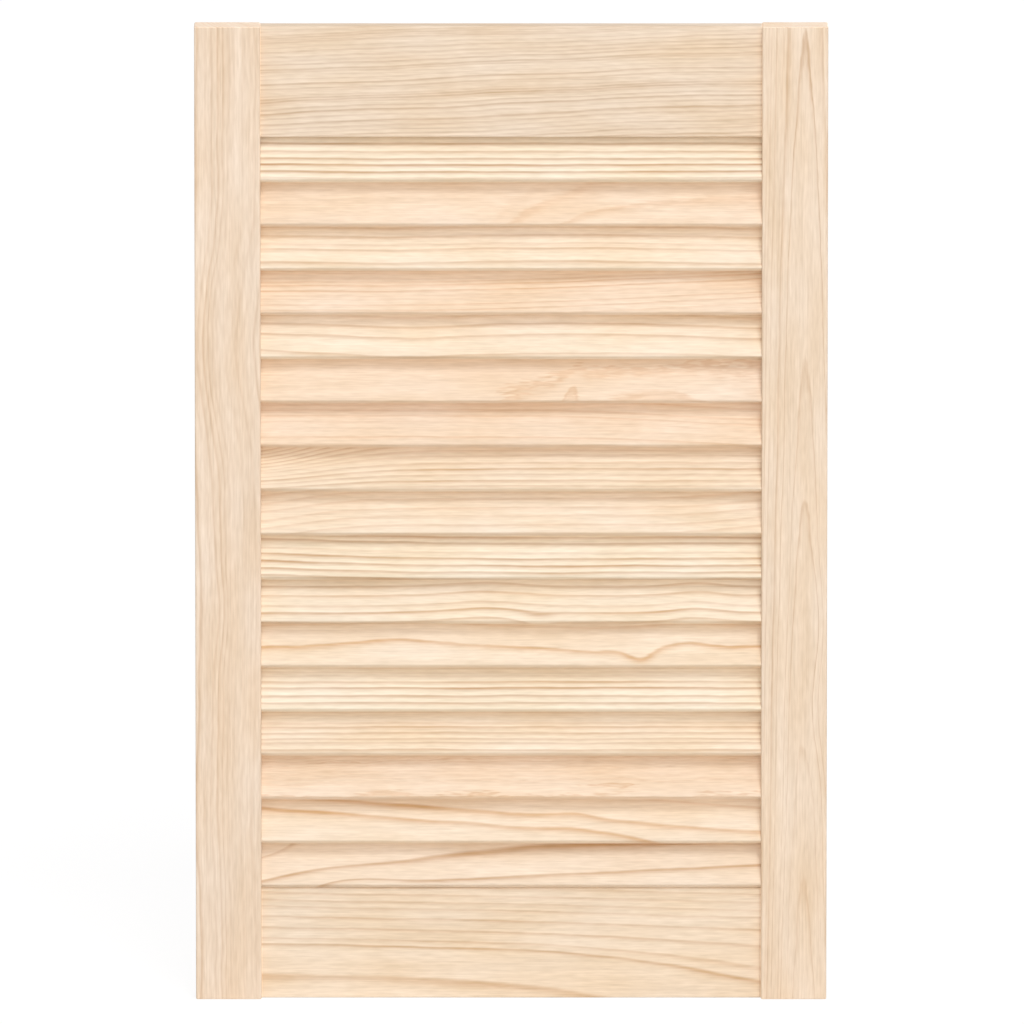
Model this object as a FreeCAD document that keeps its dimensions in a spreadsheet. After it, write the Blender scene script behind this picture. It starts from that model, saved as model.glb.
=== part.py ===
import FreeCAD, Part
import os
import Sketcher

# Louvred cabinet door in solid pine.
# Two stiles carry two dowelled rails and a stack of fixed slats, each with its lower edge to the front.
# The door stands upright: +X is to the right seen from the front, the front faces -Y and +Z is up.
# The origin is the middle of the door's foot, half way through the thickness of the stiles.

doc = FreeCAD.newDocument("louvred_door")

# Driving dimensions, in millimetres and degrees.
SIZES = [
    ("door_width", "394", "overall width"),
    ("door_height", "615", "overall height"),
    ("stile_width", "41", "face width of an upright"),
    ("stile_thick", "21", "thickness of an upright, which is the door's"),
    ("stile_round", "1.2", "radius on the long edges of an upright"),
    ("stile_ease", "0.5", "chamfer round the ends of an upright"),
    ("rail_height", "70", "face height of a cross piece"),
    ("rail_thick", "12", "thickness of a cross piece"),
    ("rail_setback", "5", "how far a cross piece lies behind the front of the uprights"),
    ("rail_round", "1", "radius on the long edges of a cross piece"),
    ("slat_count", "17", "number of slats"),
    ("slat_width", "29.5", "width of a slat, measured along its slope"),
    ("slat_thick", "6", "thickness of a slat"),
    ("slat_round", "1", "radius on the long edges of a slat"),
    ("slat_tilt", "27", "lean of a slat from upright, towards the back"),
    ("slat_gap", "0.15", "air between an end slat and the cross piece beside it"),
    ("slat_end_gap", "0.5", "air between a slat's end and the floor of its slot"),
    ("slot_depth", "8", "how deep the slots go into an upright"),
    ("slot_fit", "0.15", "air all round a slat in its slot"),
    ("dowel_diameter", "6", "diameter of a dowel"),
    ("dowel_length", "40", "length of a dowel, half in each piece"),
    ("dowel_bevel", "0.8", "chamfer on a dowel's ends"),
    ("dowel_inset", "17", "from a cross piece's long edge to the nearer dowel's axis"),
    ("dowel_fit", "0.1", "air all round a dowel in its hole"),
    ("dowel_end_gap", "1", "room for glue past each end of a dowel"),
]
sheet = doc.addObject("Spreadsheet::Sheet", "Size")
for row, (alias, number, meaning) in enumerate(SIZES, start=1):
    sheet.set(f"A{row}", meaning)
    sheet.set(f"B{row}", number)
    sheet.setAlias(f"B{row}", alias)
doc.recompute()

# Lengths and places that follow from the driving dimensions.
OPENING_WIDTH = "(Size.door_width - 2 * Size.stile_width)"
OPENING_HEIGHT = "(Size.door_height - 2 * Size.rail_height)"
STILE_CENTRE = "(Size.door_width - Size.stile_width) / 2"
RAIL_LEVEL = "Size.rail_height / 2"
RAIL_PLANE = "(Size.rail_setback + (Size.rail_thick - Size.stile_thick) / 2)"

# Height that one tilted slat takes up. Its round corners make it a little less than a sharp rectangle's.
FLAT_RISE = "(Size.slat_width - 2 * Size.slat_round) * cos(Size.slat_tilt)"
EDGE_RISE = "(Size.slat_thick - 2 * Size.slat_round) * sin(Size.slat_tilt)"
SLAT_RISE = f"({FLAT_RISE} + {EDGE_RISE} + 2 * Size.slat_round)"
LOWEST_SLAT = f"(Size.rail_height + Size.slat_gap + {SLAT_RISE} / 2)"
SLAT_RUN = f"({OPENING_HEIGHT} - {SLAT_RISE} - 2 * Size.slat_gap)"
SLAT_LENGTH = f"({OPENING_WIDTH} + 2 * (Size.slot_depth - Size.slat_end_gap))"

# A slot leaves the same air all round its slat, also between its corner flats and the slat's rounding.
SLOT_BREADTH = "(Size.slat_thick + 2 * Size.slot_fit)"
SLOT_HEIGHT = "(Size.slat_width + 2 * Size.slot_fit)"
SLOT_BEVEL = "(Size.slat_round + Size.slot_fit) * (2 - sqrt(2))"

DOWEL_HOLE_RADIUS = "(Size.dowel_diameter / 2 + Size.dowel_fit)"
DOWEL_HOLE_DEPTH = "(Size.dowel_length / 2 + Size.dowel_end_gap)"
DOWEL_LEVELS = {
    "bottom": ("Size.dowel_inset", "(Size.rail_height - Size.dowel_inset)"),
    "top": (
        "(Size.door_height - Size.rail_height + Size.dowel_inset)",
        "(Size.door_height - Size.dowel_inset)",
    ),
}

LEFT, RIGHT = -1, 1
ACROSS = FreeCAD.Vector(-1, 0, 0)
INWARD = FreeCAD.Vector(0, 0, -1)


def worth(formula):
    """The number that a formula of the sheet's values gives."""
    return float(sheet.evalExpression(formula))


def bind(item, **formulas):
    """Tie properties of an item to formulas. A double underscore stands for a dot in a property's path."""
    for path, formula in formulas.items():
        item.setExpression(path.replace("__", "."), formula)


def origin_item(body, role):
    """The plane or axis of a body's own origin that has this role."""
    return next(item for item in body.Origin.OriginFeatures if item.Role == role)


def new_body(label):
    """An empty body whose label is the piece's name."""
    body = doc.addObject("PartDesign::Body", label)
    body.Label = label
    return body


def sketch_on(body, name, role):
    """An empty sketch on one of the body's own origin planes."""
    sketch = body.newObject("Sketcher::SketchObject", f"{body.Name}_{name}")
    sketch.AttachmentSupport = [(origin_item(body, role), "")]
    sketch.MapMode = "FlatFace"
    return sketch


def dimension(sketch, name, formula, kind, *places):
    """Add a driving dimension to a sketch and tie it to a formula."""
    index = sketch.addConstraint(Sketcher.Constraint(kind, *places, worth(formula)))
    sketch.renameConstraint(index, name)
    sketch.setExpression(f"Constraints.{name}", formula)


def draw_rounded_rectangle(sketch, breadth, height, radius):
    """Draw a rectangle with round corners, centred on the sketch's origin."""
    x, y, r = worth(breadth) / 2, worth(height) / 2, worth(radius)
    point = FreeCAD.Vector
    sides = [
        (point(r - x, -y), point(x - r, -y)),
        (point(x, r - y), point(x, y - r)),
        (point(x - r, y), point(r - x, y)),
        (point(-x, y - r), point(-x, r - y)),
    ]
    centres = [point(x - r, r - y), point(x - r, y - r), point(r - x, y - r), point(r - x, r - y)]
    quarter = Part.Circle().LastParameter / 4
    for turn, (side, centre) in enumerate(zip(sides, centres)):
        corner = Part.Circle(centre, point(0, 0, 1), r)
        sketch.addGeometry(Part.LineSegment(*side))
        sketch.addGeometry(Part.ArcOfCircle(corner, (turn - 1) * quarter, turn * quarter))
    bottom, first_corner, right, _, top, far_corner, left, _ = range(8)
    origin, start, end, middle = -1, 1, 2, 3
    for index in range(8):
        sketch.addConstraint(Sketcher.Constraint("Tangent", index, end, (index + 1) % 8, start))
    for side in (bottom, top):
        sketch.addConstraint(Sketcher.Constraint("Horizontal", side))
    for side in (right, left):
        sketch.addConstraint(Sketcher.Constraint("Vertical", side))
    for corner in (3, 5, 7):
        sketch.addConstraint(Sketcher.Constraint("Equal", first_corner, corner))
    symmetric = ("Symmetric", first_corner, middle, far_corner, middle, origin, start)
    sketch.addConstraint(Sketcher.Constraint(*symmetric))
    dimension(sketch, "radius", radius, "Radius", first_corner)
    dimension(sketch, "breadth", breadth, "DistanceX", left, start, right, start)
    dimension(sketch, "height", height, "DistanceY", bottom, start, top, start)


def draw_bevelled_rectangle(sketch, breadth, height, bevel):
    """Draw a rectangle with its corners cut off at 45 degrees, centred on the sketch's origin."""
    x, y, c = worth(breadth) / 2, worth(height) / 2, worth(bevel)
    point = FreeCAD.Vector
    corners = [point(c - x, -y), point(x - c, -y), point(x, c - y), point(x, y - c)]
    corners += [-corner for corner in corners]
    for index, corner in enumerate(corners):
        sketch.addGeometry(Part.LineSegment(corner, corners[(index + 1) % 8]))
    bottom, low_bevel, right, high_bevel, top, _, left, _ = range(8)
    origin, start, end = -1, 1, 2
    for index in range(8):
        sketch.addConstraint(Sketcher.Constraint("Coincident", index, end, (index + 1) % 8, start))
    for index in range(4):
        sketch.addConstraint(Sketcher.Constraint("Symmetric", index, start, index + 4, start, origin, start))
    sketch.addConstraint(Sketcher.Constraint("Horizontal", bottom))
    sketch.addConstraint(Sketcher.Constraint("Vertical", right))
    dimension(sketch, "breadth", breadth, "DistanceX", left, start, right, start)
    dimension(sketch, "height", height, "DistanceY", bottom, start, top, start)
    dimension(sketch, "low_run", bevel, "DistanceX", low_bevel, start, low_bevel, end)
    dimension(sketch, "low_rise", bevel, "DistanceY", low_bevel, start, low_bevel, end)
    dimension(sketch, "high_run", bevel, "DistanceX", high_bevel, end, high_bevel, start)
    dimension(sketch, "high_rise", bevel, "DistanceY", high_bevel, start, high_bevel, end)


def draw_hole_column(sketch, levels, radius):
    """Draw round holes on the sketch's upright axis, each at its level above the sketch's origin."""
    origin, upright, start, middle = -1, -2, 1, 3
    for index, level in enumerate(levels):
        centre = FreeCAD.Vector(0, worth(level), 0)
        sketch.addGeometry(Part.Circle(centre, FreeCAD.Vector(0, 0, 1), worth(radius)))
        sketch.addConstraint(Sketcher.Constraint("PointOnObject", index, middle, upright))
        dimension(sketch, f"level_{index}", level, "DistanceY", origin, start, index, middle)
        dimension(sketch, f"radius_{index}", radius, "Radius", index)


def pad(body, sketch, length, both_ways):
    """Raise a sketch into a solid, to one side of its plane or half to each side."""
    solid = body.newObject("PartDesign::Pad", f"{sketch.Name}_solid")
    solid.Profile = sketch
    solid.SideType = "Symmetric" if both_ways else "One side"
    bind(solid, Length=length)
    doc.recompute()
    return solid


def cut(body, sketch, depth, outward):
    """Cut a sketch into the solid. outward is the side, along X, that the cut is entered from."""
    pocket = body.newObject("PartDesign::Pocket", f"{sketch.Name}_cut")
    pocket.Profile = sketch
    pocket.Reversed = outward < 0
    bind(pocket, Length=depth)
    doc.recompute()
    return pocket


def chamfer_ends(body, solid, axis, size):
    """Chamfer every edge of the two end faces that a padded solid has along an axis."""
    faces = enumerate(solid.Shape.Faces, start=1)
    flat = [(index, face) for index, face in faces if isinstance(face.Surface, Part.Plane)]
    ends = [f"Face{index}" for index, face in flat if abs(face.normalAt(0, 0).dot(axis)) > 0.9]
    chamfer = body.newObject("PartDesign::Chamfer", f"{body.Name}_ends")
    chamfer.Base = (solid, ends)
    bind(chamfer, Size=size)
    doc.recompute()
    return chamfer


def stile(label, side):
    """An upright: rounded long edges, dowel holes and a column of tilted slots in its inner face."""
    body = new_body(label)
    section = sketch_on(body, "section", "XY_Plane")
    draw_rounded_rectangle(section, "Size.stile_width", "Size.stile_thick", "Size.stile_round")
    blank = pad(body, section, "Size.door_height", both_ways=False)
    chamfer_ends(body, blank, FreeCAD.Vector(0, 0, 1), "Size.stile_ease")

    inner_side = -side
    inner_face = f"{inner_side} * Size.stile_width / 2"
    holes = sketch_on(body, "dowel_holes", "YZ_Plane")
    bind(holes, AttachmentOffset__Base__x=RAIL_PLANE, AttachmentOffset__Base__z=inner_face)
    draw_hole_column(holes, DOWEL_LEVELS["bottom"] + DOWEL_LEVELS["top"], DOWEL_HOLE_RADIUS)
    cut(body, holes, DOWEL_HOLE_DEPTH, inner_side)

    slot = sketch_on(body, "slot", "YZ_Plane")
    turned = FreeCAD.Rotation(INWARD, worth("Size.slat_tilt"))
    slot.AttachmentOffset = FreeCAD.Placement(FreeCAD.Vector(), turned)
    bind(slot, AttachmentOffset__Base__y=LOWEST_SLAT, AttachmentOffset__Base__z=inner_face)
    bind(slot, AttachmentOffset__Rotation__Angle="Size.slat_tilt")
    draw_bevelled_rectangle(slot, SLOT_BREADTH, SLOT_HEIGHT, SLOT_BEVEL)
    lowest_slot = cut(body, slot, "Size.slot_depth", inner_side)

    column = body.newObject("PartDesign::LinearPattern", f"{label}_slot_column")
    column.Originals = [lowest_slot]
    column.Direction = (origin_item(body, "Z_Axis"), [""])
    bind(column, Length=SLAT_RUN, Occurrences="Size.slat_count")
    body.Tip = column
    bind(body, Placement__Base__x=f"{side} * {STILE_CENTRE}")
    return body


def rail(label, level):
    """A cross piece: a board with rounded long edges between the uprights, two dowel holes in each end."""
    body = new_body(label)
    section = sketch_on(body, "section", "YZ_Plane")
    draw_rounded_rectangle(section, "Size.rail_thick", "Size.rail_height", "Size.rail_round")
    pad(body, section, OPENING_WIDTH, both_ways=True)

    holes = sketch_on(body, "dowel_holes", "YZ_Plane")
    bind(holes, AttachmentOffset__Base__y=f"-{RAIL_LEVEL}", AttachmentOffset__Base__z=f"{OPENING_WIDTH} / 2")
    draw_hole_column(holes, DOWEL_LEVELS["bottom"], DOWEL_HOLE_RADIUS)
    right_holes = cut(body, holes, DOWEL_HOLE_DEPTH, RIGHT)

    both_ends = body.newObject("PartDesign::Mirrored", f"{label}_both_ends")
    both_ends.Originals = [right_holes]
    both_ends.MirrorPlane = (origin_item(body, "YZ_Plane"), [""])
    body.Tip = both_ends
    bind(body, Placement__Base__y=RAIL_PLANE, Placement__Base__z=level)
    return body


def slat(label, steps_up):
    """A louvre slat: a thin board with rounded long edges, tilted, with both ends in the slots."""
    body = new_body(label)
    section = sketch_on(body, "section", "YZ_Plane")
    draw_rounded_rectangle(section, "Size.slat_thick", "Size.slat_width", "Size.slat_round")
    pad(body, section, SLAT_LENGTH, both_ways=True)
    body.Placement = FreeCAD.Placement(FreeCAD.Vector(), FreeCAD.Rotation(ACROSS, worth("Size.slat_tilt")))
    bind(body, Placement__Base__z=f"{LOWEST_SLAT} + {steps_up} * {SLAT_RUN} / (Size.slat_count - 1)")
    bind(body, Placement__Rotation__Angle="Size.slat_tilt")
    return body


def dowel(name, side, level):
    """A wooden dowel with chamfered ends, lying across one joint between an upright and a cross piece."""
    body = new_body(name)
    section = sketch_on(body, "section", "YZ_Plane")
    radius = worth("Size.dowel_diameter") / 2
    section.addGeometry(Part.Circle(FreeCAD.Vector(), FreeCAD.Vector(0, 0, 1), radius))
    section.addConstraint(Sketcher.Constraint("Coincident", 0, 3, -1, 1))
    dimension(section, "diameter", "Size.dowel_diameter", "Diameter", 0)
    rod = pad(body, section, "Size.dowel_length", both_ways=True)
    chamfer_ends(body, rod, FreeCAD.Vector(1, 0, 0), "Size.dowel_bevel")
    bind(body, Placement__Base__x=f"{side} * {OPENING_WIDTH} / 2")
    bind(body, Placement__Base__y=RAIL_PLANE, Placement__Base__z=level)
    return body


def dowel_set(label, side):
    """The dowels that join one upright to both cross pieces, as separate solids of one node."""
    group = doc.addObject("Part::Compound", label)
    group.Label = label
    levels = DOWEL_LEVELS["bottom"] + DOWEL_LEVELS["top"]
    group.Links = [dowel(f"{label}_{index}", side, level) for index, level in enumerate(levels, start=1)]
    return group


# The pieces of the door, slats counted from the top.
slat_count = int(worth("Size.slat_count"))
pieces = [
    stile("left_stile", LEFT),
    stile("right_stile", RIGHT),
    rail("bottom_rail", RAIL_LEVEL),
    rail("top_rail", f"Size.door_height - {RAIL_LEVEL}"),
]
pieces += [slat(f"slat_{number:02d}", slat_count - number) for number in range(1, slat_count + 1)]
pieces += [dowel_set("left_dowels", LEFT), dowel_set("right_dowels", RIGHT)]
doc.recompute()

# Nothing is written unless every object is sound and every cut took wood away.
for item in doc.Objects:
    if "Invalid" in item.State or "Error" in item.State:
        raise RuntimeError(f"{item.Label} failed: {item.State}")
    if item.TypeId == "PartDesign::Pocket" and item.Shape.Volume >= item.BaseFeature.Shape.Volume:
        raise RuntimeError(f"{item.Label} cut nothing")
for piece in pieces:
    if piece.Shape.isNull() or not piece.Shape.isValid():
        raise RuntimeError(f"{piece.Label} has no valid shape")

os.makedirs("parts", exist_ok=True)
for piece in pieces:
    piece.Shape.exportStep(f"parts/{piece.Label}.step")
    box = piece.Shape.BoundBox
    print(f"{piece.Label}: {len(piece.Shape.Solids)} solid(s), {piece.Shape.Volume / 1000:.2f} cm3, "
          f"x {box.XMin:.2f} to {box.XMax:.2f}, y {box.YMin:.2f} to {box.YMax:.2f}, "
          f"z {box.ZMin:.2f} to {box.ZMax:.2f}")
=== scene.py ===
# %% [markdown]
# # A louvred cabinet door in pine
# The door is a frame of two stiles and two rails, held together by dowels, with seventeen fixed slats
# between them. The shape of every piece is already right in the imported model, so nothing is modelled again
# here. What makes the door look real is the wood: each board was sawn from another place in the log and
# shows another piece of grain. This lesson loads the boards, sets up a camera and soft light, builds a
# pine finish from three node groups, and then gives each board its own place in the log.

# %% Load the boards
import random
from math import atan, cos, degrees, hypot, pi, radians, sin

import bmesh
import bpy
from mathutils import Color, Matrix, Vector


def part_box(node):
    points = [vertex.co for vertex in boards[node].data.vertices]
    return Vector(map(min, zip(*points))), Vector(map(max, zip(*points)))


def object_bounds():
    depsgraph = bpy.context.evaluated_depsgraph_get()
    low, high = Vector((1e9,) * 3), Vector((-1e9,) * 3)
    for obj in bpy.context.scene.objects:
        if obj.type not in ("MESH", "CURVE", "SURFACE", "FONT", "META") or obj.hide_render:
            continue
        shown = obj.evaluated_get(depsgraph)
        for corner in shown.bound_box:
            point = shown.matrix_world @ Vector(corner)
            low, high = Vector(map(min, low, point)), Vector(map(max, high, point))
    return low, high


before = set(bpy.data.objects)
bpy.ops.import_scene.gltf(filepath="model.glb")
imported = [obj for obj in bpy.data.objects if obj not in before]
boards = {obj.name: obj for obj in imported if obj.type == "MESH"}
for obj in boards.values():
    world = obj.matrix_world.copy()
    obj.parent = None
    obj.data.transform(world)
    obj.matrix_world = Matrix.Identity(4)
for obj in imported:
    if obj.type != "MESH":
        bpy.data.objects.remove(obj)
cad_low, cad_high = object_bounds()
door_centre = (cad_low + cad_high) / 2
door_size = cad_high - cad_low
scene = bpy.context.scene
scene.view_settings.view_transform = "Standard"
print(f"{len(boards)} nodes, door {door_size.x:.3f} x {door_size.y:.3f} x {door_size.z:.3f} m")

# %% [markdown]
# ## Aiming
# The camera and the lamps all look at the door. They could be placed by coordinates, but two angles and a
# distance are easier to think in: how far to the right of the front, and how high above the level.
# Blender's cameras and lamps look along their own -Z axis, which a tracking rotation turns towards the
# target.

# %% Aim a camera or a lamp
UP = Vector((0, 0, 1))


def direction(azimuth, elevation):
    """A unit vector from the door to a place in front of it, turned to the right by azimuth."""
    level = Vector((sin(azimuth), -cos(azimuth), 0))
    return level * cos(elevation) + UP * sin(elevation)


def aim(thing, place, target):
    """Put a lamp or the camera at a place and turn it to look at a target."""
    thing.location = place
    thing.rotation_euler = (target - place).to_track_quat("-Z", "Y").to_euler()
    scene.collection.objects.link(thing)


print(f"the front of the door faces {tuple(direction(0, 0))}")

# %% [markdown]
# ## Camera
# The photograph looks a little down on the door: the end grain on top of the stiles shows as a thin strip,
# and the upright edges stay parallel. A short lens close by would make them lean together, so a very long
# lens looks from far away, tipped down by the angle that the strip of end grain gives.

# %% Place the camera
SENSOR = 36.0  # millimetres, like the lens
LENS = 900.0
LOOKING_DOWN = radians(10)
PICTURE_WIDTH = 0.6385  # metres at the door
DOOR_LEFT_OF_MIDDLE = 0.0005
SEEN_DISTANCES = 4  # how deep the camera sees, in its own distances from the door

picture_centre = door_centre + Vector((DOOR_LEFT_OF_MIDDLE, 0, 0))
camera_distance = PICTURE_WIDTH * LENS / SENSOR
camera_data = bpy.data.cameras.new("camera")
camera_data.sensor_width = SENSOR
camera_data.lens = LENS
camera_data.clip_end = SEEN_DISTANCES * camera_distance
camera = bpy.data.objects.new("camera", camera_data)
aim(camera, picture_centre + direction(0, LOOKING_DOWN) * camera_distance, picture_centre)
scene.camera = camera
view_angle = degrees(2 * atan(SENSOR / 2 / LENS))
print(f"camera {camera_distance:.2f} m away, field of view {view_angle:.2f} degrees")

# %% [markdown]
# ## A soft lamp
# The photograph has soft studio light. A small lamp would cast hard shadows, so each lamp is a large
# square, far enough away to light the whole door evenly. A lamp's level is the share of a face's own
# colour that it shows when it lights that face squarely. The energy in watts follows from the level: the
# light thins out with the square of the distance, and both the lamp and a matt face spread it by a factor
# of pi.

# %% A soft lamp
LAMP_DISTANCE = 14.0


def lamp(name, angles, size, level):
    """A square lamp of soft white light that faces the middle of the door."""
    data = bpy.data.lights.new(name, "AREA")
    data.size = size
    data.energy = level * (pi * LAMP_DISTANCE) ** 2
    thing = bpy.data.objects.new(name, data)
    thing.visible_camera = False
    aim(thing, door_centre + direction(*angles) * LAMP_DISTANCE, door_centre)
    print(f"lamp {name}: {data.energy:.0f} W")


print(f"lamps stand {LAMP_DISTANCE} m from the door")

# %% [markdown]
# ## Where the lamps stand
# A large lamp above and to the right, the key, puts the shadow of each slat on the one below it. One lamp
# alone would leave those shadows black, so a broad lamp in front fills them, a weak one overhead brightens
# what faces up, and one behind lights the back of the door. Together with the even light of the
# surroundings they bring an upright face at the front to about its own colour.

# %% Four lamps
lamp("key", angles=(radians(15), radians(46.5)), size=4.5, level=0.353)
lamp("fill", angles=(radians(2), radians(16)), size=7.0, level=0.24)
lamp("overhead", angles=(radians(5), radians(75)), size=5.0, level=0.08)
lamp("back", angles=(radians(155), radians(14)), size=6.0, level=0.4)

# %% [markdown]
# ## Helpers for node trees
# A finish can be put together by hand in the node editor. In code it can be read from top to bottom and
# changed in one place, so two small functions keep the recipes short: one makes a node with its options
# and inputs, and one makes a Math node and gives back its result, so that a formula is written step by
# step.

# %% Make a node, and make a calculation


def add_node(tree, kind, inputs=None, **options):
    """Make a node, set its options, and set or link its inputs by name or number."""
    node = tree.nodes.new(kind)
    for option, value in options.items():
        setattr(node, option, value)
    for socket, value in (inputs or {}).items():
        if isinstance(value, bpy.types.NodeSocket):
            tree.links.new(value, node.inputs[socket])
        else:
            node.inputs[socket].default_value = value
    return node


def calculate(tree, operation, *values):
    """The result of one Math node."""
    return add_node(tree, "ShaderNodeMath", dict(enumerate(values)), operation=operation).outputs[0]


print("the helpers for node trees are ready")

# %% [markdown]
# ## Surroundings
# The door is shown in front of plain white. If the white came from stronger lamps, the pale wood would
# wash out, so the surroundings are white only where they are seen, directly or in a reflection. What they
# shine on the door is weaker, even and slightly warm.

# %% White surroundings
WHITE = (1, 1, 1, 1)
WARM_WHITE = (1.0, 0.955, 0.945, 1)
SURROUNDINGS = 0.38


def seen_directly(tree):
    """1 for a ray from the camera or from a mirror or glass, and 0 for the light that falls on the door."""
    path = add_node(tree, "ShaderNodeLightPath").outputs
    seen = calculate(tree, "MAXIMUM", path["Is Camera Ray"], path["Is Glossy Ray"])
    return calculate(tree, "MAXIMUM", seen, path["Is Transmission Ray"])


world = bpy.data.worlds.new("surroundings")
world.use_nodes = True
scene.world = world
sky = world.node_tree
sky.nodes.clear()
even_light = add_node(sky, "ShaderNodeBackground", {"Color": WARM_WHITE, "Strength": SURROUNDINGS})
plain_white = add_node(sky, "ShaderNodeBackground", {"Color": WHITE, "Strength": 1.0})
sky_shaders = {0: seen_directly(sky), 1: even_light.outputs[0], 2: plain_white.outputs[0]}
sky_mix = add_node(sky, "ShaderNodeMixShader", sky_shaders)
add_node(sky, "ShaderNodeOutputWorld", {"Surface": sky_mix.outputs[0]})
print(f"even light at {SURROUNDINGS} of white")

# %% [markdown]
# ## The floor
# The door stands on a wide floor. A sheet that curves up behind the door would hide it from the back, so
# the floor is one flat square, made with the grid operator.

# %% The floor
FLOOR_HALF = 30.0

floor_mesh = bpy.data.meshes.new("floor")
floor_place = Matrix.Translation((0, 0, cad_low.z))
square = bmesh.new()
bmesh.ops.create_grid(square, x_segments=1, y_segments=1, size=FLOOR_HALF, matrix=floor_place)
square.to_mesh(floor_mesh)
square.free()
floor = bpy.data.objects.new("floor", floor_mesh)
scene.collection.objects.link(floor)
print(f"floor at {cad_low.z:.3f} m")

# %% [markdown]
# ## The floor's finish
# White paint under this light would come out a pale grey. So where the floor is seen, its white is mostly
# glow, with a small share of real light in which the door's soft shadow shows. Where it only throws light
# back onto the door, it is plain matt paint.

# %% The floor's finish
FLOOR_COLOUR = (0.8, 0.8, 0.79, 1)
FLOOR_GLOW = 0.90
FLOOR_SHADED = (0.14, 0.14, 0.14, 1)

floor_finish = bpy.data.materials.new("floor_finish")
floor_finish.use_nodes = True
paint = floor_finish.node_tree
paint.nodes.clear()
pale = add_node(paint, "ShaderNodeBsdfDiffuse", {"Color": FLOOR_COLOUR})
shaded = add_node(paint, "ShaderNodeBsdfDiffuse", {"Color": FLOOR_SHADED})
glow = add_node(paint, "ShaderNodeEmission", {"Color": WHITE, "Strength": FLOOR_GLOW})
seen_floor = add_node(paint, "ShaderNodeAddShader", {0: shaded.outputs[0], 1: glow.outputs[0]})
floor_shaders = {0: seen_directly(paint), 1: pale.outputs[0], 2: seen_floor.outputs[0]}
floor_mix = add_node(paint, "ShaderNodeMixShader", floor_shaders)
add_node(paint, "ShaderNodeOutputMaterial", {"Surface": floor_mix.outputs[0]})
floor_mesh.materials.append(floor_finish)
print(f"floor finish with {len(paint.nodes)} nodes")

# %% [markdown]
# ## How pine gets its grain
# A pine adds one ring a year: soft pale wood in spring, then a thin dark band in late summer that stops
# sharply. A board is a slice through those rings. If the slice passes beside the pith, the rings show as
# straight parallel lines; if it lies flat against them, they show as broad arches and flames. So the
# finish isn't painted on: it works out how far each point of the wood is from the pith, and the faces,
# edges and end grain agree by themselves. A picture of wood would be quicker, but it can't turn a corner.
#
# What all boards share is made once, as node groups with named inputs. Soft noise makes them uneven. It is
# stretched along the grain, as everything in wood is. All lengths are in millimetres, and places are given
# along the grain, into the board and across its face.

# %% A new group, and soft noise
SOCKET_KINDS = {3: "NodeSocketVector", 4: "NodeSocketColor"}
NOISE_MIDDLE = 0.5


def new_group(name, inputs, outputs):
    """A node group with its sockets, and the sockets of the two nodes that stand for them inside."""
    group = bpy.data.node_groups.new(name, "ShaderNodeTree")
    for socket, value in inputs.items():
        kind = "NodeSocketFloat" if isinstance(value, float) else SOCKET_KINDS[len(value)]
        group.interface.new_socket(socket, in_out="INPUT", socket_type=kind).default_value = value
    for socket, kind in outputs.items():
        group.interface.new_socket(socket, in_out="OUTPUT", socket_type=kind)
    given = group.nodes.new("NodeGroupInput").outputs
    result = group.nodes.new("NodeGroupOutput").inputs
    return group, given, result


def patches(tree, place, patch, detail=0.0):
    """Soft noise from about -0.5 to 0.5, in patches that long along, into and across the board."""
    shares = tuple(1 / length for length in patch)
    scaled = add_node(tree, "ShaderNodeVectorMath", {0: place, 1: shares}, operation="MULTIPLY").outputs[0]
    noise = add_node(tree, "ShaderNodeTexNoise", {"Vector": scaled, "Scale": 1.0, "Detail": detail})
    return calculate(tree, "SUBTRACT", noise.outputs[0], NOISE_MIDDLE)


print("groups and noise are ready")

# %% [markdown]
# ## Distance from the pith
# Rings in a real log aren't perfect circles: a slow wander bends them along the trunk, a small ripple
# shakes them, and where a cut runs nearly along a ring its edge frays into the fibres. The wave texture
# can draw rings, but all of them are evenly spaced and equally dark. So this group only measures the
# distance from a pith that lies anywhere, leaning or not, and adds those three kinds of unevenness to it.

# %% The rings group
WANDER = {"patch": (130.0, 45.0, 45.0), "detail": 1.0}
RIPPLE = {"patch": (26.0, 12.0, 12.0)}
FRAY = {"patch": (7.0, 1.3, 1.3)}
ring_inputs = {
    "Board": (0.0, 0.0, 0.0),
    "Pith Across": -180.0,
    "Pith Depth": 30.0,
    "Lean Across": 0.0,
    "Lean Depth": 0.0,
    "Wander": 2.0,
    "Ripple": 0.8,
    "Fray": 0.2,
    "Lift": 0.0,
    "Log": (0.0, 0.0, 0.0),
}
rings, given, result = new_group("rings", ring_inputs, {"Radius": "NodeSocketFloat"})
along, depth, across = add_node(rings, "ShaderNodeSeparateXYZ", {0: given["Board"]}).outputs
from_pith = []
for name, distance in (("Across", across), ("Depth", depth)):
    lean = calculate(rings, "MULTIPLY", along, given[f"Lean {name}"])
    pith = calculate(rings, "ADD", given[f"Pith {name}"], lean)
    from_pith.append(calculate(rings, "SUBTRACT", distance, pith))
spoke = add_node(rings, "ShaderNodeCombineXYZ", {0: from_pith[0], 1: from_pith[1]}).outputs[0]
radius = add_node(rings, "ShaderNodeVectorMath", {0: spoke}, operation="LENGTH").outputs["Value"]
for name, noise in (("Wander", WANDER), ("Ripple", RIPPLE), ("Fray", FRAY)):
    bend = calculate(rings, "MULTIPLY", patches(rings, given["Log"], **noise), given[name])
    radius = calculate(rings, "ADD", radius, bend)
rings.links.new(calculate(rings, "ADD", radius, given["Lift"]), result["Radius"])
print(f"rings group with {len(rings.nodes)} nodes")

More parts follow.
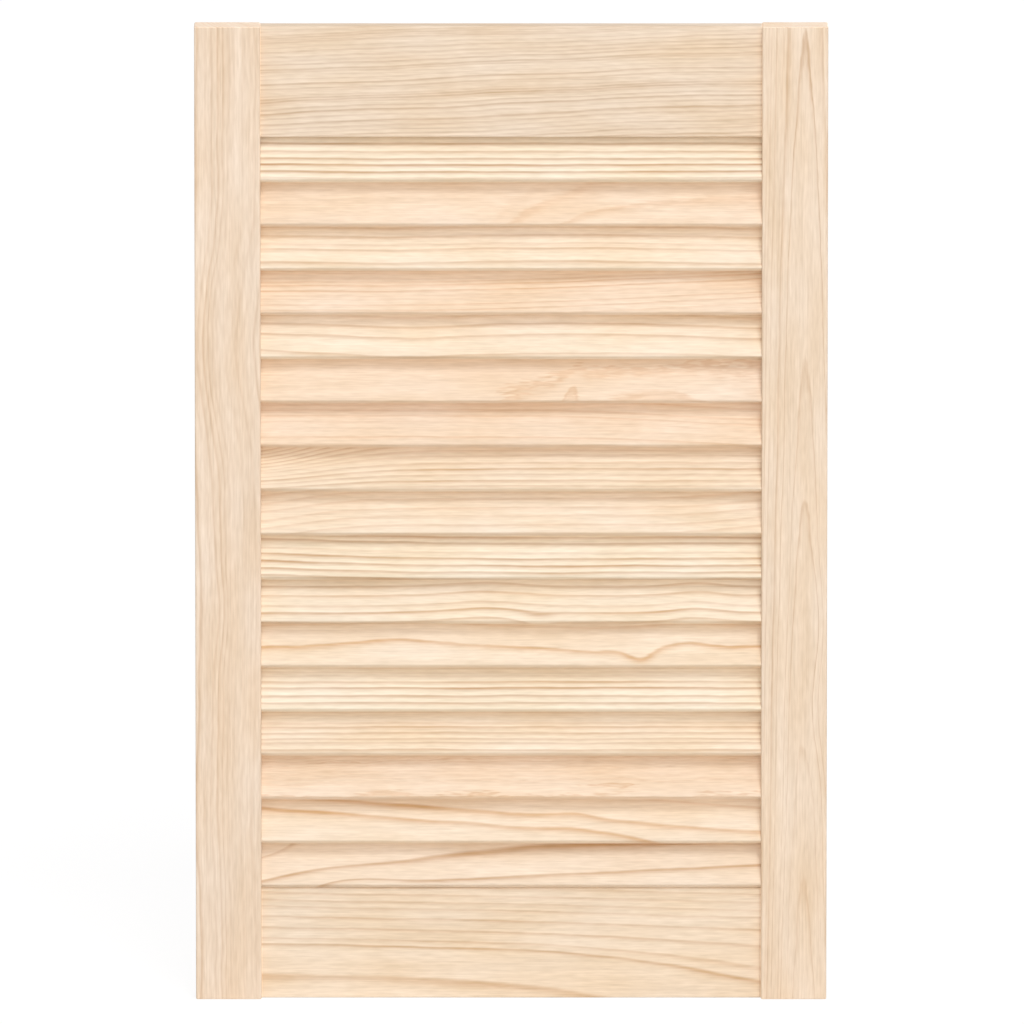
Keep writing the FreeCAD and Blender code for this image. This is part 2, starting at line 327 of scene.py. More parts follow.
# %% [markdown]
# ## Swells
# Where a branch was overgrown or the trunk was bent, the rings swell or sink locally, and a slice through
# them shows an island, a flame or a dip. More noise would put such places anywhere. A swell is a soft hill
# with a place of its own: it lifts the rings by some millimetres there, or lowers them where its rise is
# negative, and fades away along and across the board.

# %% The swell group
swell_inputs = {
    "Board": (0.0, 0.0, 0.0),
    "Along": 0.0,
    "Across": 0.0,
    "Length": 20.0,
    "Breadth": 60.0,
    "Slant": 0.0,
    "Rise": 2.0,
}
swell, given, result = new_group("swell", swell_inputs, {"Lift": "NodeSocketFloat"})
axes = add_node(swell, "ShaderNodeSeparateXYZ", {0: given["Board"]}).outputs
from_along = calculate(swell, "SUBTRACT", axes[0], given["Along"])
from_across = calculate(swell, "SUBTRACT", axes[2], given["Across"])
slant = calculate(swell, "MULTIPLY", from_along, given["Slant"])
slanted = calculate(swell, "SUBTRACT", from_across, slant)
far = []
for distance, reach in ((from_along, "Length"), (slanted, "Breadth")):
    share = calculate(swell, "DIVIDE", distance, given[reach])
    far.append(calculate(swell, "MULTIPLY", share, share))
fall = calculate(swell, "EXPONENT", calculate(swell, "MULTIPLY", calculate(swell, "ADD", *far), -1.0))
swell.links.new(calculate(swell, "MULTIPLY", fall, given["Rise"]), result["Lift"])
print(f"swell group with {len(swell.nodes)} nodes")

# %% [markdown]
# ## One year
# Late wood darkens slowly on the side of the pith and stops sharply at the end of summer. An even line
# would look printed, so the profile of a line is lopsided: a long rise, and a short drop after the darkest
# place. Where two years overlap, the darker one shows.

# %% Late wood before and after a line
# Each pair is a distance from the darkest place, in thicknesses of the line, and the share of late wood.
LATE_WOOD = [(-3.6, 0.0), (-2.3, 0.1), (-1.3, 0.38), (-0.5, 0.88), (0.0, 1.0), (0.35, 0.6), (0.8, 0.0)]


def late_wood_at(radius, years):
    """The share of late wood at a distance from the pith, from a list of (distance, darkness, thickness)."""
    most = 0.0
    for end, darkness, thickness in years:
        step = (radius - end) / thickness
        for (before, low), (after, high) in zip(LATE_WOOD, LATE_WOOD[1:]):
            if before <= step < after:
                share = low + (high - low) * (step - before) / (after - before)
                most = max(most, darkness * share)
    return most


one_year = [(10.0, 1.0, 1.0)]
print("late wood around 10 mm:", [round(late_wood_at(radius, one_year), 2) for radius in range(7, 12)])

# %% [markdown]
# ## The record of a board
# No two years grew alike, so each board keeps its own record: where each dark line lies, how dark it is
# and how thick. A repeating texture can't hold that, and one node for each line would be slow, so a curve
# node holds the whole record: it takes the distance from the pith and gives the share of late wood there.

# %% From a record of years to a curve
CURVE_STEPS = 250


def late_wood_curve(tree, radius, years):
    """A curve node that holds the record of years."""
    first = min(end + LATE_WOOD[0][0] * thickness for end, _, thickness in years)
    last = max(end + LATE_WOOD[-1][0] * thickness for end, _, thickness in years)
    span = last - first
    share = calculate(tree, "DIVIDE", calculate(tree, "SUBTRACT", radius, first), span)
    node = add_node(tree, "ShaderNodeFloatCurve", {"Value": share})
    points = node.mapping.curves[0].points
    for step in range(1, CURVE_STEPS):
        points.new(step / CURVE_STEPS, late_wood_at(first + span * step / CURVE_STEPS, years))
    points[0].location = (0.0, 0.0)
    points[-1].location = (1.0, 0.0)
    for point in points:
        point.handle_type = "VECTOR"
    node.mapping.update()
    return node.outputs[0]


print(f"a record is read in {CURVE_STEPS} steps")

# %% [markdown]
# ## Many fine lines
# Some boards show dozens of fine lines that nobody could tell apart. Their records are drawn by chance:
# the distance to the next year, its darkness and its thickness vary, and faint years are more common than
# dark ones. A seed for each board makes every run draw the same years.

# %% Years by chance
FAINTEST = 0.25
FAINTNESS = 1.5  # a power above 1 makes faint years more common
THICKNESS_RANGE = (0.7, 1.3)
SPACING_RANGE = (0.6, 1.4)


def random_years(first, last, spacing, thickness, seed, darkest=1.0):
    """Years for a board with many fine lines: spacing and darkness vary from year to year."""
    chance = random.Random(seed)
    years = []
    distance = first
    while distance < last:
        darkness = darkest * (FAINTEST + (1 - FAINTEST) * chance.random() ** FAINTNESS)
        years.append((distance, darkness, thickness * chance.uniform(*THICKNESS_RANGE)))
        distance += spacing * chance.uniform(*SPACING_RANGE)
    return years


print(f"{len(random_years(0, 100, spacing=2.0, thickness=0.5, seed=1))} years in 100 mm of one log")

# %% [markdown]
# ## Spring wood and summer wood
# Spring wood is cream to rose, and late wood is amber. The pine group mixes the two by the share of late
# wood. A line is hardly ever equally dark from end to end, so slow noise lets it fade and come back.
# Colours are written as they look on a screen, and a helper turns them into the linear light that nodes
# work with.

# %% The pine group: two colours


def colour(red, green, blue):
    """A colour as seen on screen, 0 to 255, as the linear colour that nodes take."""
    on_screen = Color((red / 255, green / 255, blue / 255))
    return (*on_screen.from_srgb_to_scene_linear(), 1.0)


FADE = {"patch": (60.0, 5.0, 5.0)}
FADE_RANGE = 0.9
pine_inputs = {
    "Log": (0.0, 0.0, 0.0),
    "Late Wood": 0.0,
    "Contrast": 0.8,
    "End Grain": 0.0,
    "Spring Wood": colour(246, 227, 201),
    "Summer Wood": colour(204, 162, 118),
}
pine_outputs = {"Colour": "NodeSocketColor", "Roughness": "NodeSocketFloat", "Height": "NodeSocketFloat"}
pine, given, result = new_group("pine", pine_inputs, pine_outputs)
fade = calculate(pine, "MULTIPLY_ADD", patches(pine, given["Log"], **FADE), FADE_RANGE, 1.0)
late_wood = calculate(pine, "MULTIPLY", given["Late Wood"], fade)
summer = calculate(pine, "MULTIPLY", late_wood, given["Contrast"])
# A Mix node has sockets for each kind of value. Inputs 6 and 7 and output 2 are the ones for colours.
mix_inputs = {0: summer, 6: given["Spring Wood"], 7: given["Summer Wood"]}
two_colours = add_node(pine, "ShaderNodeMix", mix_inputs, data_type="RGBA").outputs[2]
print(f"pine group with {len(pine.nodes)} nodes so far")

# %% [markdown]
# ## Fibres, flecks and streaks
# Up close even spring wood isn't one colour. Over it lie fine fibres, short flecks where the saw cut them,
# broad streaks and slow changes of tone, all drawn out along the grain. One noise with much detail would
# mix these scales up, so each has its own. They change the brightness, and where the wood is darker it is
# also richer in colour. The sawn ends are made paler: a painted highlight for the light from above on the
# end grain that faces up.

# %% The pine group: shades
FIBRE = {"patch": (40.0, 0.8, 0.8), "detail": 2.0}
FIBRE_SHADE = 0.20
FLECK = {"patch": (11.0, 1.4, 1.4), "detail": 1.0}
FLECK_SHADE = 0.22
STREAK = {"patch": (110.0, 5.0, 5.0)}
STREAK_SHADE = 0.10
TONE = {"patch": (60.0, 20.0, 14.0)}
TONE_SHADE = 0.07
FIBRE_BLUSH = -0.9
TONE_BLUSH = -0.35
# painted highlight: how much paler the sawn ends are made, for the light from above on end grain facing up
END_GRAIN_PAINTED_LIGHT = 0.2

fibre, fleck, streak, tone = (patches(pine, given["Log"], **noise) for noise in (FIBRE, FLECK, STREAK, TONE))
shade = calculate(pine, "MULTIPLY", fibre, FIBRE_SHADE)
shade = calculate(pine, "MULTIPLY_ADD", fleck, FLECK_SHADE, shade)
shade = calculate(pine, "MULTIPLY_ADD", streak, STREAK_SHADE, shade)
blush = calculate(pine, "MULTIPLY_ADD", shade, FIBRE_BLUSH, 1.0)
blush = calculate(pine, "MULTIPLY_ADD", tone, TONE_BLUSH, blush)
shade = calculate(pine, "MULTIPLY_ADD", tone, TONE_SHADE, shade)
# Painted light: the sawn ends are made paler, standing in for the light from above on the top ends of the
# stiles.
shade = calculate(pine, "MULTIPLY_ADD", given["End Grain"], END_GRAIN_PAINTED_LIGHT, shade)
brightness = calculate(pine, "ADD", shade, 1.0)
print(f"pine group with {len(pine.nodes)} nodes so far")

# %% [markdown]
# ## Colour, shine and relief
# The group ends in three results: the shaded colour, the roughness and the height of the fibres. Late wood
# is denser and takes a little more shine. The planed face is almost flat, so relief comes from the fibres
# alone and stays far below the real steps between pieces, which are in the model.

# %% The pine group: results
SPRING_ROUGHNESS = 0.62
SUMMER_ROUGHNESS = 0.50

blushed = add_node(pine, "ShaderNodeHueSaturation", {"Saturation": blush, "Color": two_colours}).outputs[0]
lit_wood = {0: blushed, "Scale": brightness}
wood_colour = add_node(pine, "ShaderNodeVectorMath", lit_wood, operation="SCALE").outputs[0]
roughness_change = SUMMER_ROUGHNESS - SPRING_ROUGHNESS
roughness = calculate(pine, "MULTIPLY_ADD", summer, roughness_change, SPRING_ROUGHNESS)
pine.links.new(wood_colour, result["Colour"])
pine.links.new(roughness, result["Roughness"])
pine.links.new(fibre, result["Height"])
print(f"pine group with {len(pine.nodes)} nodes")

# %% [markdown]
# ## A point's place in its board and in its log
# A Mapping node of the texture kind moves the pattern to the middle of the board and turns it with the
# board, so the same numbers mean the same thing on an upright stile and on a tilted slat. The noise of two
# boards would be alike if both began at zero, so each log starts at a place of its own, far from the
# others.

# %% Places in a board
MILLIMETRE = 0.001
LOG_STEP = (731.0, 197.0, 113.0)


def places(tree, centre, turned, log):
    """Each point's place in its board and in its log, in millimetres along, into and across the board."""
    placing = {
        "Vector": add_node(tree, "ShaderNodeTexCoord").outputs["Object"],
        "Location": centre,
        "Rotation": turned,
        "Scale": [MILLIMETRE] * 3,
    }
    in_board = add_node(tree, "ShaderNodeMapping", placing, vector_type="TEXTURE").outputs[0]
    moved = {0: in_board, 1: [log * step for step in LOG_STEP]}
    in_log = add_node(tree, "ShaderNodeVectorMath", moved, operation="ADD").outputs[0]
    return in_board, in_log


print(f"logs lie {hypot(*LOG_STEP):.0f} mm apart in the noise")

# %% [markdown]
# ## The late wood of a board
# Here the parts come together: the swells of a board are added up and handed to the rings group, the rings
# group gives the distance from the pith, and the records turn it into late wood. Most boards have one
# record. More are for a board whose lines are so thin that a single curve over all its years would be too
# coarse.

# %% Late wood in a board


def late_wood_in(tree, in_board, in_log, records, ring, swells):
    """The share of late wood at each point of a board."""
    lift = 0.0
    for values in swells:
        hill = add_node(tree, "ShaderNodeGroup", {"Board": in_board, **values}, node_tree=swell)
        lift = calculate(tree, "ADD", hill.outputs["Lift"], lift)
    ring_values = {"Board": in_board, "Log": in_log, "Lift": lift, **ring}
    radius = add_node(tree, "ShaderNodeGroup", ring_values, node_tree=rings).outputs["Radius"]
    share = 0.0
    for years in records:
        share = calculate(tree, "MAXIMUM", late_wood_curve(tree, radius, years), share)
    return share


print("swells, rings and records are joined up")

# %% [markdown]
# ## The sawn ends
# The two ends of a board were sawn across the fibres. The pine group makes them paler, a painted highlight
# for the light from above on the end grain that faces up. They could be found by the way a face points, but
# parts of the slots in the stiles point that way too. So they are found by place: whatever lies within a
# hair of either end.

# %% Sawn ends
END_DEPTH = 0.4


def sawn_ends(tree, in_board, length):
    """1 on the two sawn ends of a board of that length in metres, and 0 elsewhere."""
    along = add_node(tree, "ShaderNodeSeparateXYZ", {0: in_board}).outputs[0]
    end_place = length / 2 / MILLIMETRE - END_DEPTH
    return calculate(tree, "GREATER_THAN", calculate(tree, "ABSOLUTE", along), end_place)


print(f"an end is {END_DEPTH} mm deep")

# %% [markdown]
# ## One finish for one board
# Each board gets a material of its own, because each was cut from another place. Everything that changes
# over the wood comes from the groups. The shader itself and what is the same all over, such as the weak
# gloss of bare wood, stay in the material.

# %% One finish for one board
RELIEF = {"Strength": 0.25, "Distance": 0.0001}
GLOSS = 0.3


def finish(name, turned, records, ring, wood, swells=(), log=0):
    """Give a board its own piece of wood: its turn, its records, values for the groups, and its log."""
    material = bpy.data.materials.new(f"{name}_wood")
    material.use_nodes = True
    tree = material.node_tree
    tree.nodes.clear()
    low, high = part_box(name)
    in_board, in_log = places(tree, (low + high) / 2, turned, log)
    late_wood = late_wood_in(tree, in_board, in_log, records, ring, swells)
    end_grain = sawn_ends(tree, in_board, max(high - low))
    pine_values = {"Log": in_log, "Late Wood": late_wood, "End Grain": end_grain, **wood}
    shown = add_node(tree, "ShaderNodeGroup", pine_values, node_tree=pine).outputs
    relief = add_node(tree, "ShaderNodeBump", {"Height": shown["Height"], **RELIEF})
    shader_inputs = {
        "Base Color": shown["Colour"],
        "Roughness": shown["Roughness"],
        "Normal": relief.outputs[0],
        "Specular IOR Level": GLOSS,
    }
    shader = add_node(tree, "ShaderNodeBsdfPrincipled", shader_inputs)
    add_node(tree, "ShaderNodeOutputMaterial", {"Surface": shader.outputs[0]})
    mesh = boards[name].data
    mesh.materials.clear()
    mesh.materials.append(material)
    print(f"{name}: {len(tree.nodes)} nodes, {sum(map(len, records))} years, {len(swells)} swells")


print("the finish is ready for its boards")

# %% [markdown]
# ## The left stile
# The stiles are the uprights of the frame, planed from pine that is a little greyer than most of the
# slats. The left one was cut beside the pith of a bent trunk. Its fine lines are drawn by chance, a strong
# wander bends them, and three swells put the largest bends where the photograph shows them.

# %% The left stile
UPRIGHT = (0.0, radians(-90), 0.0)

left_ring = {"Pith Across": -70.0, "Pith Depth": 30.0, "Wander": 7.0, "Ripple": 1.6}
left_years = random_years(40, 130, spacing=3.7, thickness=0.75, seed=12, darkest=0.9)
left_swells = [
    {"Along": 105.0, "Length": 55.0, "Rise": -11.0},
    {"Along": -60.0, "Across": 8.0, "Length": 30.0, "Breadth": 10.0, "Rise": 3.0},
    {"Along": -190.0, "Length": 35.0, "Rise": -2.5},
]
left_wood = {"Spring Wood": colour(242, 220, 196), "Summer Wood": colour(204, 166, 126), "Contrast": 0.52}
finish("left_stile", UPRIGHT, [left_years], left_ring, left_wood, left_swells, log=1)

# %% [markdown]
# ## The right stile
# The right stile lies flat against the rings of a trunk that tapers, so the rings show as tall arches. No
# line is drawn as an arch: the pith lies behind the face and leans away from it, and the slice does the
# rest. The few rings that make the arches are very thin, because the face cuts them at a small angle. They
# have a record of their own, and years drawn by chance outside and inside them make up the edges and the
# back.

# %% The right stile
right_ring = {
    "Pith Across": -6.3,
    "Pith Depth": 26.9,
    "Lean Depth": 0.0091,
    "Wander": 1.2,
    "Ripple": 0.2,
    "Fray": 0.08,
}
arches = [
    (35.3, 0.5, 0.06), (36.3, 0.4, 0.06), (37.45, 0.8, 0.06), (38.25, 0.6, 0.06), (40.15, 1.0, 0.07),
]
front_years = random_years(41.6, 47, spacing=1.3, thickness=0.22, seed=2, darkest=0.8)
back_years = random_years(12, 34.2, spacing=1.7, thickness=0.4, seed=7, darkest=0.8)
right_records = [arches, front_years, back_years]
right_swells = [
    {"Along": -68.0, "Across": -16.0, "Length": 28.0, "Breadth": 9.0, "Rise": -0.45},
    {"Along": -128.0, "Across": -16.0, "Length": 36.0, "Breadth": 12.0, "Rise": 1.1},
]
right_wood = {"Spring Wood": colour(241, 219, 194), "Summer Wood": colour(204, 166, 126), "Contrast": 0.62}
finish("right_stile", UPRIGHT, right_records, right_ring, right_wood, right_swells, log=2)

# %% [markdown]
# ## The top rail
# The rails are the cross pieces. The top one has narrow rings that rise to the right and wander a good
# deal. They are too many and too alike to be placed one by one, so they are drawn by chance, and a pith
# that leans across the board makes them rise.

# %% The top rail
LYING = (0.0, 0.0, 0.0)

top_ring = {"Pith Across": -160.0, "Pith Depth": 60.0, "Lean Across": 0.038, "Wander": 6.0, "Ripple": 0.8}
top_years = random_years(115, 215, spacing=2.2, thickness=0.45, seed=3)
top_wood = {"Spring Wood": colour(240, 219, 194), "Summer Wood": colour(200, 164, 126), "Contrast": 0.74}
finish("top_rail", LYING, [top_years], top_ring, top_wood, log=3)

# %% [markdown]
# ## Lines that can be told apart
# On other boards each line has a place of its own. Such a board is described as it is seen: how far above
# the middle of its face a line lies, how dark it is and, where it stands out, how thick. A helper turns
# those places into distances from the pith.

# %% From lines across a face to years


def years_across(lines, ring, face_depth, thickness=1.0):
    """A record of years from lines seen across a face, given as (place, darkness) or with a thickness."""
    years = []
    for across, darkness, *own_thickness in lines:
        end = hypot(across - ring["Pith Across"], face_depth - ring["Pith Depth"])
        years.append((end, darkness, *(own_thickness or [thickness])))
    return years


print("lines across a face can be turned into years")

# %% [markdown]
# ## The bottom rail
# In the bottom rail the rings are wide apart. They swell at the lower right, so the lines bend down there,
# and the thickest of them runs out through the lower edge. One large swell does this for all lines at
# once, as a branch below the board would.

# %% The bottom rail
RAIL_FACE = -6.0  # the front of the rail, from its middle

bottom_ring = {"Pith Across": -180.0, "Pith Depth": 30.0, "Lean Across": -0.02, "Wander": 1.5}
bottom_lines = [
    (34.4, 0.45), (29.4, 0.5), (24.7, 0.5), (20.5, 0.5), (14.2, 0.7), (7.2, 0.7), (0.5, 0.6), (-3.3, 1.0),
    (-23.3, 0.9, 2.2),
]
bottom_years = years_across(bottom_lines, bottom_ring, RAIL_FACE, thickness=0.8)
bottom_swell = {"Along": 185.0, "Across": -45.0, "Length": 140.0, "Breadth": 36.0, "Rise": 26.0}
bottom_wood = {"Spring Wood": colour(244, 223, 197), "Summer Wood": colour(212, 174, 132), "Contrast": 0.75}
finish("bottom_rail", LYING, [bottom_years], bottom_ring, bottom_wood, [bottom_swell], log=4)

# %% [markdown]
# ## The lean of the slats
# The seventeen slats sit in slots at one lean. The grain has to lean with them, or it would run out
# through their faces. The angle could be typed in again, but it is measured on the largest face of the
# first slat, so it is always the model's own.

# %% Measure the lean
slat_names = sorted(name for name in boards if name.startswith("slat_"))
widest = max(boards[slat_names[0]].data.polygons, key=lambda face: face.area)
slat_tilt = atan(abs(widest.normal.z / widest.normal.y))
leaning = (-slat_tilt, 0.0, 0.0)
print(f"{len(slat_names)} slats lean back by {degrees(slat_tilt):.1f} degrees")

# %% [markdown]
# ## Slats with clear lines
# The slats were ripped from many boards, and hardly two of them came from the same tree, so each has a
# recipe of its own. The recipes are collected by kind first and used further down. Slats 1, 10 and 13 are
# cream with clear straight lines, as pine shows them where it is cut beside the pith.

# %% Cream slats
cream = {"Spring Wood": colour(250, 235, 211), "Summer Wood": colour(202, 163, 124)}
slats = {}
slats["slat_01"] = {
    "lines": [(14.5, 0.6), (9.1, 0.65), (3.9, 0.6), (-0.7, 0.7), (-4.6, 1.0), (-9.2, 0.8), (-13.5, 0.4)],
    "wood": {**cream, "Contrast": 1.0},
}
slats["slat_10"] = {
    "lines": [(11.0, 0.7), (7.1, 0.7), (1.2, 0.35), (-2.7, 0.9), (-7.3, 1.0), (-11.8, 0.8), (-16.0, 0.8)],
    "swells": [{"Along": -175.0, "Length": 90.0, "Rise": -3.5}],
    "wood": {**cream, "Contrast": 0.9},
}
slats["slat_13"] = {
    "ring": {"Wander": 1.0},
    "lines": [(13.0, 0.6), (9.7, 0.3), (7.1, 0.3), (3.2, 0.8), (-0.7, 1.0), (-5.9, 0.8), (-10.5, 0.8)],
    "wood": {**cream, "Contrast": 0.82},
}
print(f"{len(slats)} recipes, for the cream slats")

# %% [markdown]
# ## Slats with softer lines
# Slats 3, 5 and 14 were cut in the same way, but their wood is the colour of straw and the lines are
# fainter. Noise alone would bend such lines anywhere. In slats 3 and 5 broad swells bend them where the
# photograph shows it.

# %% Straw slats
straw = {"Spring Wood": colour(247, 228, 203), "Summer Wood": colour(204, 163, 120)}
slats["slat_03"] = {
    "lines": [(13.0, 0.7), (7.1, 0.8), (1.9, 0.45), (-1.4, 0.9), (-9.9, 0.9), (-17.5, 0.8)],
    "swells": [
        {"Along": -80.0, "Length": 60.0, "Rise": 1.5},
        {"Along": 160.0, "Length": 60.0, "Rise": 1.8},
    ],
    "wood": {**straw, "Contrast": 0.62},
}
slats["slat_05"] = {
    "lines": [(13.5, 0.5), (7.1, 0.9), (-0.1, 0.8), (-12.4, 0.8)],
    "swells": [
        {"Along": -65.0, "Length": 45.0, "Rise": 2.6},
        {"Along": 165.0, "Length": 60.0, "Rise": 3.0},
        {"Along": -170.0, "Across": -14.0, "Length": 30.0, "Breadth": 10.0, "Rise": -3.0},
    ],
    "wood": {**straw, "Contrast": 0.6},
}
slats["slat_14"] = {
    "lines": [
        (13.0, 0.7), (10.4, 0.3), (5.2, 0.5), (2.5, 1.0), (-1.4, 0.8), (-5.3, 0.7), (-7.9, 0.7),
        (-12.5, 0.9),
    ],
    "wood": {**straw, "Contrast": 0.65},
}
print(f"{len(slats)} recipes, with the straw slats")

# %% [markdown]
# ## A slat that bends at both ends
# Slat 9 is the colour of honey, with faint lines that bend down at the left end and up at the right end. A
# pith that leans would tilt the whole line, so a swell at each end bends only that end.

# %% The honey slat
honey = {"Spring Wood": colour(245, 225, 200), "Summer Wood": colour(208, 165, 121)}
slats["slat_09"] = {
    "lines": [
        (18.3, 0.7), (13.0, 0.7), (7.8, 0.8), (1.9, 0.8), (-3.3, 0.7), (-9.2, 0.8), (-14.6, 0.7),
        (-20.0, 0.6),
    ],
    "swells": [
        {"Along": -170.0, "Length": 50.0, "Rise": 9.0},
        {"Along": 175.0, "Length": 50.0, "Rise": -6.0},
    ],
    "wood": {**honey, "Contrast": 0.38},
}
print(f"{len(slats)} recipes, with the honey slat")

# %% [markdown]
# ## Slats with faint lines
# Slats 4 and 7 are rose, with many faint lines. They are too alike to be placed one by one, so their years
# are drawn by chance. In slat 4 the pith leans and the lines climb to the right. In slat 7 a swell bends
# them down at the right end.

# %% Rose slats with faint lines
rose = {"Spring Wood": colour(243, 219, 193), "Summer Wood": colour(216, 170, 123)}
slats["slat_04"] = {
    "ring": {"Lean Across": 0.05, "Wander": 2.0},
    "years": random_years(150, 220, spacing=3.2, thickness=0.6, seed=14),
    "swells": [{"Along": -190.0, "Length": 110.0, "Rise": -8.0}],
    "wood": {**rose, "Contrast": 0.65},
}
slats["slat_07"] = {
    "years": random_years(155, 215, spacing=3.6, thickness=0.8, seed=17),
    "swells": [{"Along": 165.0, "Length": 80.0, "Rise": 6.0}],
    "wood": {**rose, "Contrast": 0.4},
}
print(f"{len(slats)} recipes, with the faint rose slats")

# %% [markdown]
# ## Slats that lie flat against the rings
# Slats 2 and 6 were sawn far from the pith and flat against the rings, so they are almost plain. Where a
# swell brings a ring up to the face, it shows as a flame: two on slat 2, and on slat 6 flames, a small
# hook and an island. Steep swells alone would give smooth ovals, so most are gentle and leave the outline
# to the fray, as in real wood.

# %% Rose slats with flames
flat_sawn = {"Pith Across": 0.0, "Pith Depth": 300.0, "Lean Depth": -0.05, "Wander": 1.0, "Fray": 0.9}
slats["slat_02"] = {
    "ring": flat_sawn,
    "years": [(301.9, 0.3, 0.5), (300.1, 0.9, 0.7), (295.3, 0.9, 0.7)],
    "swells": [{"Along": 75.0, "Across": -26.0, "Length": 70.0, "Breadth": 22.0, "Rise": -12.0}],
    "wood": {**rose, "Contrast": 0.32},
}
slats["slat_06"] = {
    "ring": {**flat_sawn, "Lean Depth": -0.008, "Wander": 0.3, "Ripple": 0.7, "Fray": 1.1},
    "years": [(301.9, 0.8, 0.35), (298.2, 0.8, 0.9), (297.0, 0.6, 0.9)],
    "swells": [
        {"Along": 70.0, "Across": -16.0, "Length": 65.0, "Breadth": 15.0, "Rise": -4.0},
        {"Along": 36.0, "Across": -16.0, "Length": 6.0, "Breadth": 12.0, "Slant": 1.5, "Rise": -3.4},
        {"Along": 97.0, "Across": -16.0, "Length": 22.0, "Breadth": 9.0, "Rise": -2.8},
    ],
    "wood": {**rose, "Contrast": 0.5},
}
print(f"{len(slats)} recipes, with the flames")

# %% [markdown]
# ## A slat from near the pith
# Slat 15 was sawn nearer to the pith, where the rings are tightly curved. One ring touches its face along
# the lower edge and shows as ragged patches. Above them the face cuts the next rings more and more
# steeply, and they show as fine lines. Both come from the same rings, so nothing has to be blended.

# %% The rose slat with patches
fine_years = random_years(41.8, 50, spacing=0.9, thickness=0.22, seed=25, darkest=0.8)
slats["slat_15"] = {
    "ring": {"Pith Across": -15.0, "Pith Depth": 37.0, "Wander": 1.2, "Ripple": 1.3, "Fray": 1.0},
    "years": [(39.85, 0.8, 0.3), *fine_years],
    "swells": [
        {"Along": 60.0, "Across": -6.5, "Length": 30.0, "Breadth": 1.8, "Rise": -1.4},
        {"Along": -190.0, "Across": 10.0, "Length": 120.0, "Breadth": 16.0, "Rise": 3.0},
    ],
    "wood": {**rose, "Contrast": 0.55},
}
print(f"{len(slats)} recipes, with the patches")

# %% [markdown]
# ## A fan and waves
# In slat 8 the lines fan out from the lower left corner: one tall swell at that end bends the upper lines
# most. In slat 11 the lines run in waves round places where branches were overgrown. Each wave is a swell.

# %% Slats with a fan and with waves
slats["slat_08"] = {
    "lines": [
        (37.0, 0.8, 0.8), (33.2, 1.0, 0.8), (29.4, 0.8, 0.8), (25.6, 1.0, 0.8), (21.8, 0.9, 0.8),
        (18.0, 1.0, 0.8), (14.2, 0.7), (10.4, 0.5), (7.1, 0.5), (2.5, 0.6), (-1.4, 1.0), (-5.1, 0.6),
        (-9.0, 0.9), (-12.5, 0.6),
    ],
    "swells": [{"Along": -175.0, "Across": 22.0, "Length": 60.0, "Breadth": 28.0, "Rise": 30.0}],
    "wood": {**straw, "Contrast": 0.62},
}
slats["slat_11"] = {
    "lines": [(13.5, 0.5), (8.0, 0.7), (2.0, 0.7), (-4.6, 0.5), (-9.0, 1.0), (-15.0, 0.6)],
    "swells": [
        {"Along": -18.0, "Length": 30.0, "Rise": -2.8},
        {"Along": 115.0, "Length": 20.0, "Rise": -2.6},
        {"Along": 15.0, "Across": -13.0, "Length": 12.0, "Breadth": 3.5, "Rise": 2.5},
    ],
    "wood": {**straw, "Spring Wood": colour(248, 231, 207), "Contrast": 0.8},
}
print(f"{len(slats)} recipes, with the fan and the waves")

# %% [markdown]
# ## Bold lines that sag and fall
# Slats 12 and 16 come from fast-grown wood and show only two or three broad lines. In slat 12 the lower
# line sags deeply to the right of the middle. In slat 16 the pith leans and the lines fall to the right.
# With so few lines each bend shows, so every one has a swell of its own.

# %% Amber slats
amber = {"Spring Wood": colour(245, 225, 200), "Summer Wood": colour(216, 173, 126)}
slats["slat_12"] = {
    "ring": {"Wander": 1.0, "Ripple": 1.4, "Fray": 0.8},
    "lines": [(11.5, 0.5), (-2.5, 1.0, 1.4)],
    "swells": [
        {"Along": -70.0, "Length": 40.0, "Breadth": 40.0, "Rise": -4.5},
        {"Along": 50.0, "Across": -6.0, "Length": 30.0, "Breadth": 20.0, "Rise": 3.0},
        {"Along": 81.0, "Across": -15.0, "Length": 13.0, "Breadth": 12.0, "Rise": 8.3},
        {"Along": 110.0, "Length": 14.0, "Breadth": 20.0, "Rise": -2.5},
    ],
    "wood": {**amber, "Contrast": 0.75},
}
slats["slat_16"] = {
    "ring": {"Lean Across": -0.077, "Wander": 2.0, "Ripple": 1.6},
    "lines": [(19.0, 0.5), (3.2, 1.0, 1.6), (-5.4, 1.0, 1.6)],
    "swells": [
        {"Along": 38.0, "Across": 4.0, "Length": 20.0, "Breadth": 14.0, "Rise": -2.6},
        {"Along": 100.0, "Across": -17.0, "Length": 24.0, "Breadth": 9.0, "Rise": 4.0},
    ],
    "wood": {**amber, "Contrast": 0.8},
}
print(f"{len(slats)} recipes, with the amber slats")

# %% [markdown]
# ## Bold lines that climb
# Slat 17 is the lowest. Its lines climb to the right, and at the left end they run down to the lower edge,
# as beside a thick branch. A tall swell at that end pulls all of them down, and three smaller ones set how
# each of them runs on from there.

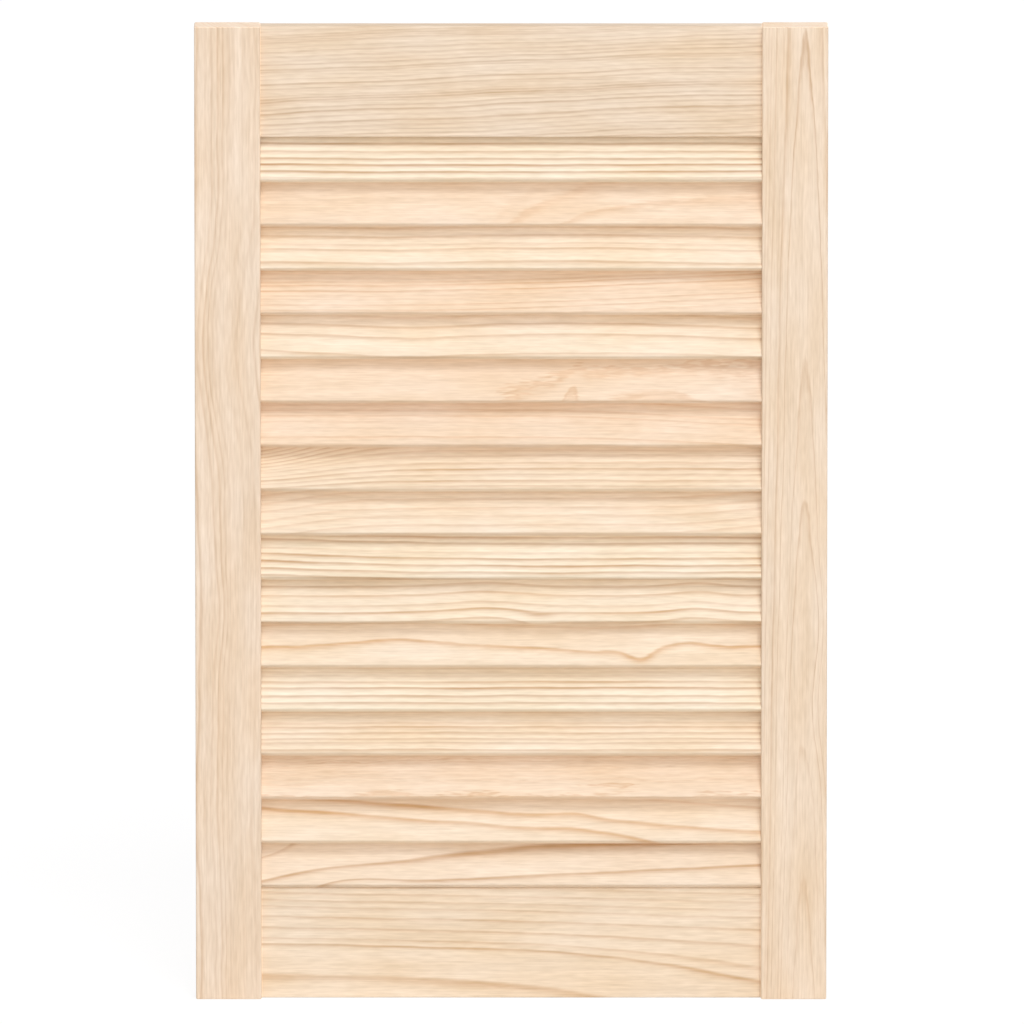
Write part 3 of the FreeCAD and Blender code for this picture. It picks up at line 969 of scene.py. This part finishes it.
# %% The russet slat
russet = {"Spring Wood": colour(244, 224, 201), "Summer Wood": colour(206, 168, 130)}
slats["slat_17"] = {
    "ring": {"Lean Across": 0.05, "Wander": 1.5},
    "lines": [(31.5, 0.6), (7.8, 1.0, 2.0), (-9.4, 0.9, 1.2)],
    "swells": [
        {"Along": -190.0, "Across": 10.0, "Length": 55.0, "Breadth": 32.0, "Rise": 27.0},
        {"Along": -105.0, "Across": 4.0, "Length": 55.0, "Breadth": 9.0, "Rise": 6.0},
        {"Along": -98.0, "Across": -14.0, "Length": 28.0, "Breadth": 7.0, "Rise": -5.5},
        {"Along": 25.0, "Across": 18.0, "Length": 40.0, "Breadth": 10.0, "Rise": -3.0},
    ],
    "wood": {**russet, "Contrast": 0.85},
}
print(f"{len(slats)} recipes, with the russet slat")

# %% [markdown]
# ## From recipes to slats
# Every slat is now finished from its recipe. What a recipe leaves out is the usual case: a cut beside the
# pith and no swells. Each slat gets the next log, so that none repeats the noise of another.

# %% Finish the slats
SLAT_FACE = -3.0  # the front of a slat, from its middle
LOGS_BEFORE_SLATS = 10

beside_pith = {"Pith Across": -180.0, "Pith Depth": 30.0}
for number, name in enumerate(slat_names, start=1):
    slat = slats[name]
    ring = {**beside_pith, **slat.get("ring", {})}
    years = slat.get("years") or years_across(slat["lines"], ring, SLAT_FACE)
    log = LOGS_BEFORE_SLATS + number
    finish(name, leaning, [years], ring, slat["wood"], slat.get("swells", ()), log=log)

# %% [markdown]
# ## The dowels
# The eight dowels that pin the rails to the stiles are turned from beech, which is harder than pine:
# closer in grain, pinker and almost without lines. A finish of their own isn't needed: the pine groups
# give that look with other colours, a low contrast and years that lie close together.

# %% Beech dowels
DOWEL_LOG = 40

beech = {"Spring Wood": colour(226, 190, 152), "Summer Wood": colour(190, 146, 106), "Contrast": 0.4}
dowel_ring = {"Pith Across": -150.0}
dowel_years = random_years(50, 250, spacing=2.0, thickness=0.5, seed=40)
for name in ("left_dowels", "right_dowels"):
    finish(name, LYING, [dowel_years], dowel_ring, beech, log=DOWEL_LOG)
